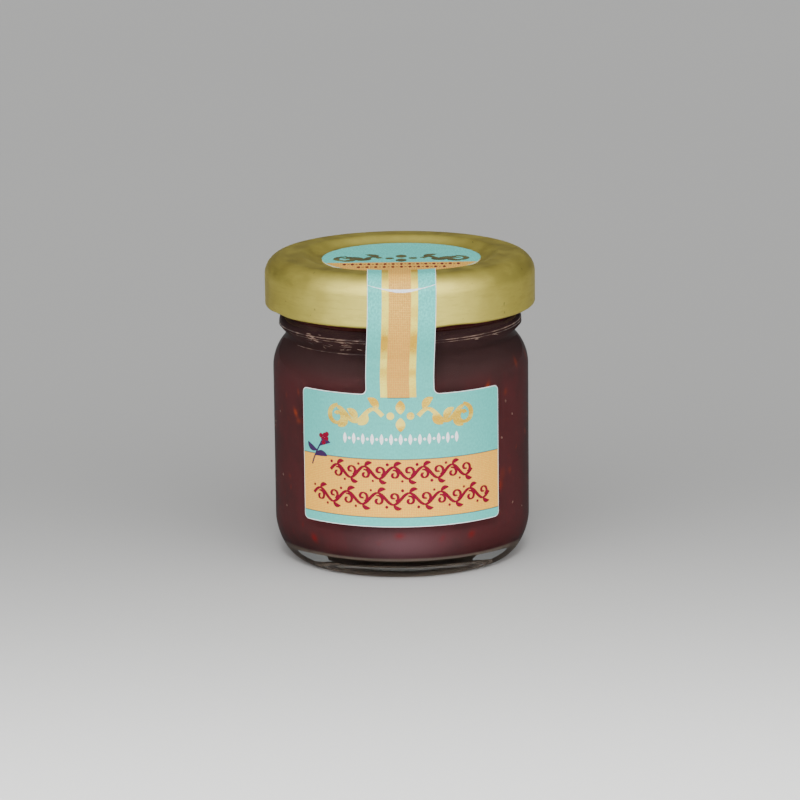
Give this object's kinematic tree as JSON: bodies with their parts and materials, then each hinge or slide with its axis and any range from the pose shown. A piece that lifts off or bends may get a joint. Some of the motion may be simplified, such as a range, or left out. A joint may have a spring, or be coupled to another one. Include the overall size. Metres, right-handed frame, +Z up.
{
  "type": "mini jam jar",
  "caption": "Small sealed glass jar of dark red jam with a gold twist-off lid and a paper label whose seal strip runs over the lid to a round end.",
  "frame": {"origin": "centre of the base, on the surface that the jar stands on", "axes": "+Z up along the jar's axis, -Y towards the label, +X to the label's right as a reader sees it"},
  "size_m": [0.0458, 0.0461, 0.0524],
  "materials": {
    "clear_glass": "clear flint glass, smooth",
    "jam": "thick dark red fruit jam, wet",
    "gold_lacquer": "satin gold lacquer on tinplate",
    "printed_paper": "coated paper printed in pale teal, beige, peach and gold"
  },
  "bodies": {
    "root": {"jar": "clear_glass", "jam": "jam", "lid": "gold_lacquer", "label": "printed_paper"}
  },
  "joints": []
}
